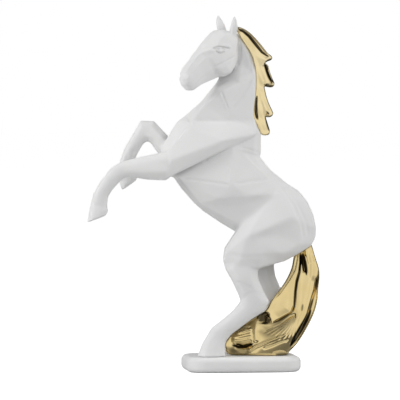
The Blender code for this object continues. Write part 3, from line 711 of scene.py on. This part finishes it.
class Net:
    """Squares of a grid inside an outline, with the outermost points drawn onto it."""

    def __init__(self, line, shift):
        self.shift = shift
        low = line.min(axis=0) - GRID_STEP
        high = line.max(axis=0) + GRID_STEP
        columns, rows = (np.arange(low[i], high[i], GRID_STEP) for i in range(2))
        across, down = np.meshgrid(columns, rows)
        inside = within(across, down, line)
        cells = inside[:-1, :-1] & inside[1:, :-1] & inside[1:, 1:] & inside[:-1, 1:]
        for _ in range(PINCH_ROUNDS):
            cells[:-1, :-1] &= ~(cells[1:, 1:] & ~cells[1:, :-1] & ~cells[:-1, 1:])
            cells[1:, :-1] &= ~(cells[:-1, 1:] & ~cells[:-1, :-1] & ~cells[1:, 1:])
        numbers = np.arange(across.size).reshape(across.shape)
        corners = (numbers[:-1, :-1], numbers[1:, :-1], numbers[1:, 1:], numbers[:-1, 1:])
        squares = np.stack([corner[cells] for corner in corners], axis=1)
        used, flat = np.unique(squares, return_inverse=True)
        self.squares = flat.reshape(-1, 4)
        self.count = len(used)
        self.across = across.ravel()[used]
        self.down = down.ravel()[used]
        edges = np.concatenate([self.squares[:, (i, (i + 1) % 4)] for i in range(4)])
        ordered = np.sort(edges, axis=1)
        _, where, times = np.unique(ordered, axis=0, return_index=True, return_counts=True)
        self.first, self.second = ordered[where].T
        self.rim = edges[where[times == 1]]
        self.degree = np.bincount(ordered[where].ravel(), minlength=self.count)
        outer = np.unique(self.rim)
        spots, _ = nearest_on(self.across[outer], self.down[outer], line)
        self.across[outer] = spots[:, 0]
        self.down[outer] = spots[:, 1]
        free = np.ones(self.count)
        free[outer] = 0
        self.across = self.blurred(self.across, EVEN_ROUNDS, BLUR_SHARE * free)
        self.down = self.blurred(self.down, EVEN_ROUNDS, BLUR_SHARE * free)
        _, self.gap = nearest_on(self.across, self.down, line)

    def blurred(self, values, rounds, share=BLUR_SHARE):
        """Values that give way to their neighbours' mean by a share, several times over."""
        for _ in range(rounds):
            total = np.bincount(self.first, values[self.second], self.count)
            total += np.bincount(self.second, values[self.first], self.count)
            values = values + share * (total / self.degree - values)
        return values

    def filled(self, values):
        """Gives the points without a value the mean of their neighbours' ones."""
        while np.isnan(values).any():
            known = ~np.isnan(values)
            clean = np.where(known, values, 0.0)
            weight = known.astype(float)
            total = np.bincount(self.first, clean[self.second], self.count)
            total += np.bincount(self.second, clean[self.first], self.count)
            times = np.bincount(self.first, weight[self.second], self.count)
            times += np.bincount(self.second, weight[self.first], self.count)
            ready = ~known & (times > 0)
            values = values.copy()
            values[ready] = total[ready] / times[ready]
        return values

    def places(self, out):
        """The points in space at a distance out to the horse's left."""
        high = np.maximum(SHEET_GROUND - self.down - self.shift[1], 0.0)
        rise = np.abs(out) * SHEET_RISE * smoothstep(0, FOOT_HEIGHT, high)
        behind = self.across + self.shift[0] - SHEET_CENTRE
        x = (behind - out * math.sin(SHEET_TURN)) / math.cos(SHEET_TURN)
        return np.stack([x * UNIT, -out * UNIT, HORSE_LOW.z + (high + rise) * UNIT], axis=1)

    def solid_depths(self, node, side):
        """How far out the CAD node's skin is on one side, at each point."""
        tree = solid_tree(node)
        starts = self.places(np.full(self.count, float(RAY_START * side)))
        ends = self.places(np.zeros(self.count))
        found = np.full(self.count, np.nan)
        for i in range(self.count):
            start = Vector(starts[i])
            hit = tree.ray_cast(start, Vector(ends[i]) - start)
            if hit[0] is not None:
                found[i] = max(-hit[0].y / UNIT * side, 0.0)
        return self.filled(found)

    def closed(self, name, points):
        """A mesh of the near face, the far face and the wall between their rims."""
        near = self.squares
        far = self.squares[:, ::-1] + self.count
        first, second = self.rim.T
        wall = np.stack([second, first, first + self.count, second + self.count], axis=1)
        mesh = bpy.data.meshes.new(name)
        mesh.from_pydata(np.concatenate(points).tolist(), [], np.concatenate([near, far, wall]).tolist())
        bm = bmesh.new()
        bm.from_mesh(mesh)
        bmesh.ops.recalc_face_normals(bm, faces=bm.faces)
        bm.to_mesh(mesh)
        bm.free()
        mesh.shade_smooth()
        return mesh


def gilded(node):
    """A piece whose two faces follow the solid's, smoothed, with a round rim and strokes cut into them."""
    name = f"{node}_gilding"
    look = GILDING[node]
    radius = look["rim_radius"]
    net = Net(rounded(look["outline"], CORNER_ROUNDS), look["shift"])
    inward = radius - np.minimum(net.gap, radius)
    drop = radius - np.sqrt(radius ** 2 - inward ** 2)
    cut = np.zeros(net.count)
    for line, width, depth in look["strokes"]:
        cut += stroke(net.across, net.down, line, width, depth)
    for line, width, depth, reach in look["scarps"]:
        cut += scarp(net.across, net.down, line, width, depth, reach)
    cut = net.blurred(cut, STROKE_BLUR) * smoothstep(*STROKE_RIM, net.gap)
    points = []
    for side, share in ((1, NEAR_SHARE), (-1, FAR_SHARE)):
        out = net.blurred(net.solid_depths(node, side), look["blur"])
        out = np.maximum(out - drop - cut * share, THINNEST)
        points.append(net.places(out * side))
    mesh = net.closed(name, points)
    # painted dark reflections, kept on the points for the gold's colour
    dark = np.zeros(net.count)
    for line, width, share in look["dark_reflections"]:
        dark = np.maximum(dark, reflection_darkness(net.across, net.down, line, width, share))
    painted_reflection = mesh.attributes.new("painted_reflection", "FLOAT", "POINT")
    painted_reflection.data.foreach_set("value", np.tile(net.blurred(dark, REFLECTION_BLUR), 2))
    piece = bpy.data.objects.new(name, mesh)
    bpy.context.scene.collection.objects.link(piece)
    dress(piece, node, gold())


# The base

BASE_CORNER = 19 * MM
BASE_EDGE = 5.5 * MM
BASE_STEPS = 12


def base():
    """The slab, with round plan corners and soft edges all round."""
    low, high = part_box("base")
    centre = (low + high) / 2
    half_x = (high.x - low.x) / 2
    half_y = (high.y - low.y) / 2
    rings = []
    for i in range(2 * BASE_STEPS + 2):
        upper = i > BASE_STEPS
        turn = math.pi / 2 * (i - 1 if upper else i) / BASE_STEPS
        inset = BASE_EDGE * (1 - math.sin(turn))
        lift = BASE_EDGE * (1 - abs(math.cos(turn)))
        height = high.z - lift if upper else low.z + lift
        ring = []
        for quarter in range(4):
            corner_x = (half_x - BASE_CORNER) * (1 if quarter in (0, 3) else -1)
            corner_y = (half_y - BASE_CORNER) * (1 if quarter in (0, 1) else -1)
            for j in range(BASE_STEPS + 1):
                angle = math.pi / 2 * (quarter + j / BASE_STEPS)
                radius = BASE_CORNER - inset
                ring.append(Vector((centre.x + corner_x + radius * math.cos(angle),
                                    centre.y + corner_y + radius * math.sin(angle), height)))
        rings.append(ring)
    bm = bmesh.new()
    rows = [[bm.verts.new(p) for p in ring] for ring in rings]
    count = len(rows[0])
    for lower, higher in zip(rows, rows[1:]):
        for i in range(count):
            j = (i + 1) % count
            bm.faces.new([lower[i], lower[j], higher[j], higher[i]])
    bm.faces.new(list(reversed(rows[0])))
    bm.faces.new(rows[-1])
    mesh = bpy.data.meshes.new("base_slab")
    bm.to_mesh(mesh)
    bm.free()
    mesh.shade_smooth()
    piece = bpy.data.objects.new("base_slab", mesh)
    bpy.context.scene.collection.objects.link(piece)
    dress(piece, "base", ceramic())


def dress(piece, node, material):
    """Gives a piece its material, and lets it stand for its CAD node."""
    piece.data.materials.clear()
    piece.data.materials.append(material)
    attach(piece, "root")
    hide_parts(node)


# Materials

# The range in which most of the noise lies, and how many rays tell how deep a place lies in a groove
NOISE_RANGE = (0.3, 0.7)
RECESS_RAYS = 8


def noise(tree, scale, detail, low, high):
    """Noise in object space, stretched to run from one value to another."""
    place = tree.nodes.new("ShaderNodeTexCoord")
    texture = tree.nodes.new("ShaderNodeTexNoise")
    texture.inputs["Scale"].default_value = scale
    texture.inputs["Detail"].default_value = detail
    tree.links.new(place.outputs["Object"], texture.inputs["Vector"])
    span = tree.nodes.new("ShaderNodeMapRange")
    span.inputs["From Min"].default_value, span.inputs["From Max"].default_value = NOISE_RANGE
    span.inputs["To Min"].default_value = low
    span.inputs["To Max"].default_value = high
    tree.links.new(texture.outputs["Fac"], span.inputs["Value"])
    return span.outputs["Result"]


def mixed(tree, factor, first, second):
    """A colour between two others, each of them a fixed colour or one that another node gives."""
    mix = tree.nodes.new("ShaderNodeMix")
    mix.data_type = "RGBA"
    for name, colour in (("A", first), ("B", second)):
        if isinstance(colour, tuple):
            mix.inputs[name].default_value = (*colour, 1)
        else:
            tree.links.new(colour, mix.inputs[name])
    tree.links.new(factor, mix.inputs["Factor"])
    return mix.outputs["Result"]


def bumped(tree, layers):
    """A normal from several layers of noise, each with its scale, detail and height."""
    normal = None
    for scale, detail, height in layers:
        bump = tree.nodes.new("ShaderNodeBump")
        bump.inputs["Distance"].default_value = height
        tree.links.new(noise(tree, scale, detail, 0, 1), bump.inputs["Height"])
        if normal is not None:
            tree.links.new(normal, bump.inputs["Normal"])
        normal = bump.outputs["Normal"]
    return normal


def recess(tree, distance, closed, clear):
    """1 on an open surface, and 0 deep in a groove."""
    shade = tree.nodes.new("ShaderNodeAmbientOcclusion")
    shade.only_local = True
    shade.samples = RECESS_RAYS
    shade.inputs["Distance"].default_value = distance
    span = tree.nodes.new("ShaderNodeMapRange")
    span.inputs["From Min"].default_value = closed
    span.inputs["From Max"].default_value = clear
    tree.links.new(shade.outputs["AO"], span.inputs["Value"])
    return span.outputs["Result"]


def new_material(name):
    """A material with its nodes and its shader."""
    material = bpy.data.materials.new(name)
    material.use_nodes = True
    return material, material.node_tree, material.node_tree.nodes["Principled BSDF"]


# The patches and the roughness are noise, with its scale, its detail, and the values that it runs between.
# Grain and waves are layers of noise, each with its scale, its detail and its height.
CERAMIC_TONES = ((0.80, 0.80, 0.80), (0.835, 0.835, 0.83))
CERAMIC_PATCHES = (18, 3, 0, 1)
CERAMIC_ROUGHNESS = (60, 4, 0.46, 0.56)
CERAMIC_GRAIN = [(160, 3, 0.02 * MM), (1400, 2, 0.004 * MM)]
CERAMIC_SPECULAR = 0.35

# Painted shade in the casting's shallow folds and fine lines: the depth looked into, the open shares of a
# closed place and of a clear one, and the grey of the painted shade
FOLDS = (12 * MM, 0.2, 0.85)
FOLD_SHADE_GREY = (0.5, 0.5, 0.5)
LINES = (2.5 * MM, 0.3, 0.95)
LINE_SHADE_GREY = (0.38, 0.38, 0.38)

# The gold low down and high up, its painted shade in grooves, and its painted dark reflections
LOWER_GOLD = ((0.73, 0.57, 0.27), (0.79, 0.64, 0.34))
HIGHER_GOLD = ((0.79, 0.65, 0.36), (0.85, 0.72, 0.45))
GOLD_PATCHES = (40, 3, 0, 1)
GOLD_ROUGHNESS = (120, 4, 0.05, 0.11)
GOLD_WAVES = [(45, 1, 0.05 * MM), (420, 3, 0.002 * MM)]
GROOVES = (3 * MM, 0.35, 0.75)
GROOVE_SHADE_BROWN = (0.05, 0.03, 0.008)
DARK_REFLECTION_BROWN = (0.012, 0.008, 0.003)

# How much paler the gold is, by height in metres
PALER_WITH_HEIGHT = [(0.1, 0.0), (0.24, 1.0)]


def ceramic():
    """Matt white ceramic, very slightly uneven in tone and in surface, with painted shade greying its folds
    and lines.
    """
    found = bpy.data.materials.get("white_ceramic_matt")
    if found:
        return found
    material, tree, shader = new_material("white_ceramic_matt")
    tone = mixed(tree, noise(tree, *CERAMIC_PATCHES), *CERAMIC_TONES)
    # painted shade: grey mixed into the colour where the folds and fine lines are closed in
    shaded = mixed(tree, recess(tree, *FOLDS), FOLD_SHADE_GREY, tone)
    line_shaded = mixed(tree, recess(tree, *LINES), LINE_SHADE_GREY, shaded)
    tree.links.new(line_shaded, shader.inputs["Base Color"])
    tree.links.new(noise(tree, *CERAMIC_ROUGHNESS), shader.inputs["Roughness"])
    tree.links.new(bumped(tree, CERAMIC_GRAIN), shader.inputs["Normal"])
    shader.inputs["Specular IOR Level"].default_value = CERAMIC_SPECULAR
    return material


def gold():
    """Mirror-bright gold lustre, with slow waves, paler higher up, with painted shade in its grooves and
    painted dark reflections along given lines.
    """
    found = bpy.data.materials.get("gold_lustre_mirror")
    if found:
        return found
    material, tree, shader = new_material("gold_lustre_mirror")
    patches = noise(tree, *GOLD_PATCHES)
    place = tree.nodes.new("ShaderNodeTexCoord")
    ways = tree.nodes.new("ShaderNodeSeparateXYZ")
    tree.links.new(place.outputs["Object"], ways.inputs[0])
    # the gold is paler higher up, set by height alone
    height_share = ramp(tree, ways.outputs["Z"], PALER_WITH_HEIGHT)
    tone = mixed(tree, height_share, mixed(tree, patches, *LOWER_GOLD), mixed(tree, patches, *HIGHER_GOLD))
    # painted shade: dark brown mixed in where the grooves are closed in
    line_shaded = mixed(tree, recess(tree, *GROOVES), GROOVE_SHADE_BROWN, tone)
    # painted dark reflections: a near-black brown mixed in along the given lines
    painted_reflection = tree.nodes.new("ShaderNodeAttribute")
    painted_reflection.attribute_name = "painted_reflection"
    tree.links.new(mixed(tree, painted_reflection.outputs["Fac"], line_shaded, DARK_REFLECTION_BROWN), shader.inputs["Base Color"])
    shader.inputs["Metallic"].default_value = 1.0
    tree.links.new(noise(tree, *GOLD_ROUGHNESS), shader.inputs["Roughness"])
    tree.links.new(bumped(tree, GOLD_WAVES), shader.inputs["Normal"])
    return material


# The stage

CAMERA_TARGET = Vector((-41.3 * MM, 0, 171.2 * MM))
CAMERA_ELEVATION = math.radians(1.8)
CAMERA_DISTANCE = 3.505
CAMERA_LENS = 315
CAMERA_SENSOR = 36
CAMERA_REACH = 60


def camera():
    """A long lens at the photograph's angle."""
    data = bpy.data.cameras.new("camera")
    data.lens = CAMERA_LENS
    data.sensor_width = CAMERA_SENSOR
    data.clip_end = CAMERA_REACH
    eye = bpy.data.objects.new("camera", data)
    level = math.cos(CAMERA_ELEVATION)
    back = Vector((-math.sin(SHEET_TURN) * level, -math.cos(SHEET_TURN) * level, math.sin(CAMERA_ELEVATION)))
    eye.location = CAMERA_TARGET + back * CAMERA_DISTANCE
    eye.rotation_euler = (-back).to_track_quat("-Z", "Y").to_euler()
    bpy.context.scene.collection.objects.link(eye)
    bpy.context.scene.camera = eye


# Soft round lamps that look at the horse's middle: the place, the size and the power
LAMPS = {
    "key": ((-2.1, -0.35, 1.05), 1.0, 24.5),
    "fill": ((0.5, -2.0, 1.5), 1.5, 12.5),
    "rim": ((1.7, -0.3, 1.5), 1.2, 15),
    "top": ((-0.4, -0.5, 2.6), 1.2, 5),
}
LAMP_TARGET = Vector((0, 0, 0.17))


def lamps():
    """The studio's lamps, which light the horse but aren't seen in the gold."""
    for name, (centre, size, watts) in LAMPS.items():
        data = bpy.data.lights.new(name, "AREA")
        data.shape = "DISK"
        data.size = size
        data.energy = watts
        lamp = bpy.data.objects.new(name, data)
        lamp.location = centre
        lamp.rotation_euler = (LAMP_TARGET - Vector(centre)).to_track_quat("-Z", "Y").to_euler()
        lamp.visible_glossy = False
        bpy.context.scene.collection.objects.link(lamp)


# The floor: its size, its tone as the camera sees it and as it lights the horse, and the glow added to the
# first of these
FLOOR_RADIUS = 20.0
FLOOR_SIDES = 64
FLOOR_SEEN = (0.8, 0.8, 0.8, 1)
FLOOR_THROWN = (0.75, 0.75, 0.75, 1)
FLOOR_GLOW = 0.75

# The light of the walls on the horse, and their brightness behind it
WALL_LIGHT = 0.31
WALL_SEEN = 1.0

# How bright the studio looks in the gold, by how far to the right, behind the horse and up one looks
WALLS_ACROSS = [(-1.0, 0.8), (-0.4, 1.0), (0.1, 0.9), (0.5, 1.0), (1.0, 0.6)]
WALLS_DEEP = [(-0.12, 1.0), (0.04, 0.35), (0.14, 0.03), (0.85, 0.05), (0.97, 0.6), (1.0, 0.8)]
WALLS_HIGH = [(-1.0, 0.6), (-0.2, 1.0), (0.4, 1.0), (0.7, 0.6), (1.0, 0.4)]

# How bright the floor looks in the gold, by how far behind the horse it is, in metres
FLOOR_IN_MIRRORS = [(-1.0, 1.0), (-0.45, 0.75), (-0.2, 0.35), (-0.05, 0.18), (0.1, 0.03), (0.8, 0.6)]


def ramp(tree, value, stops):
    """A grey value that follows another one, from -1 to 1, through stops."""
    spread = tree.nodes.new("ShaderNodeMapRange")
    spread.inputs["From Min"].default_value = -1
    tree.links.new(value, spread.inputs["Value"])
    scale = tree.nodes.new("ShaderNodeValToRGB")
    for i, (place, level) in enumerate(stops):
        share = (place + 1) / 2
        stop = scale.color_ramp.elements[i] if i < 2 else scale.color_ramp.elements.new(share)
        stop.position = share
        stop.color = (level, level, level, 1)
    tree.links.new(spread.outputs["Result"], scale.inputs["Fac"])
    return scale.outputs["Color"]


def by_ray(tree, plain, looks):
    """A shader that gives way to another one for each kind of ray named."""
    path = tree.nodes.new("ShaderNodeLightPath")
    shown = plain.outputs[0]
    for ray, look in looks:
        choice = tree.nodes.new("ShaderNodeMixShader")
        tree.links.new(path.outputs[ray], choice.inputs[0])
        tree.links.new(shown, choice.inputs[1])
        tree.links.new(look.outputs[0], choice.inputs[2])
        shown = choice.outputs[0]
    return shown


def floor_material():
    """White paper, which the camera sees at the brightness of the background."""
    material, tree, shader = new_material("floor_paper")
    tree.nodes.remove(shader)
    seen = tree.nodes.new("ShaderNodeBsdfDiffuse")
    seen.inputs["Color"].default_value = FLOOR_SEEN
    glow = tree.nodes.new("ShaderNodeEmission")
    glow.inputs["Strength"].default_value = FLOOR_GLOW
    glowing = tree.nodes.new("ShaderNodeAddShader")
    tree.links.new(seen.outputs[0], glowing.inputs[0])
    tree.links.new(glow.outputs[0], glowing.inputs[1])
    thrown = tree.nodes.new("ShaderNodeBsdfDiffuse")
    thrown.inputs["Color"].default_value = FLOOR_THROWN
    place = tree.nodes.new("ShaderNodeTexCoord")
    ways = tree.nodes.new("ShaderNodeSeparateXYZ")
    tree.links.new(place.outputs["Object"], ways.inputs[0])
    mirrored = tree.nodes.new("ShaderNodeEmission")
    tree.links.new(ramp(tree, ways.outputs["Y"], FLOOR_IN_MIRRORS), mirrored.inputs["Strength"])
    shown = by_ray(tree, thrown, (("Is Glossy Ray", mirrored), ("Is Camera Ray", glowing)))
    tree.links.new(shown, tree.nodes["Material Output"].inputs["Surface"])
    return material


def ground():
    """A round sheet of white paper under the horse."""
    mesh = bpy.data.meshes.new("floor")
    bm = bmesh.new()
    bmesh.ops.create_circle(bm, cap_ends=True, segments=FLOOR_SIDES, radius=FLOOR_RADIUS)
    bm.to_mesh(mesh)
    bm.free()
    mesh.materials.append(floor_material())
    floor = bpy.data.objects.new("floor", mesh)
    bpy.context.scene.collection.objects.link(floor)


def walls():
    """Pale walls all round: even light on the ceramic, and a bright front and a dark back in the gold."""
    world = bpy.data.worlds.new("studio")
    bpy.context.scene.world = world
    world.use_nodes = True
    tree = world.node_tree
    tree.nodes.clear()
    place = tree.nodes.new("ShaderNodeTexCoord")
    ways = tree.nodes.new("ShaderNodeSeparateXYZ")
    tree.links.new(place.outputs["Generated"], ways.inputs[0])
    across, deep, high = (
        ramp(tree, ways.outputs[axis], stops)
        for axis, stops in (("X", WALLS_ACROSS), ("Y", WALLS_DEEP), ("Z", WALLS_HIGH))
    )
    room = across
    for wall in (deep, high):
        product = tree.nodes.new("ShaderNodeMath")
        product.operation = "MULTIPLY"
        tree.links.new(room, product.inputs[0])
        tree.links.new(wall, product.inputs[1])
        room = product.outputs[0]
    plain, mirrored, seen = (tree.nodes.new("ShaderNodeBackground") for _ in range(3))
    for glow in (plain, mirrored, seen):
        glow.inputs["Color"].default_value = (1, 1, 1, 1)
    plain.inputs["Strength"].default_value = WALL_LIGHT
    tree.links.new(room, mirrored.inputs["Strength"])
    seen.inputs["Strength"].default_value = WALL_SEEN
    output = tree.nodes.new("ShaderNodeOutputWorld")
    shown = by_ray(tree, plain, (("Is Glossy Ray", mirrored), ("Is Camera Ray", seen)))
    tree.links.new(shown, output.inputs["Surface"])


def stage():
    """The studio round the horse, with colours shown as they are."""
    bpy.context.scene.view_settings.view_transform = "Standard"
    walls()
    ground()
    lamps()
    camera()


horse()
gilded("mane")
gilded("tail")
base()
stage()
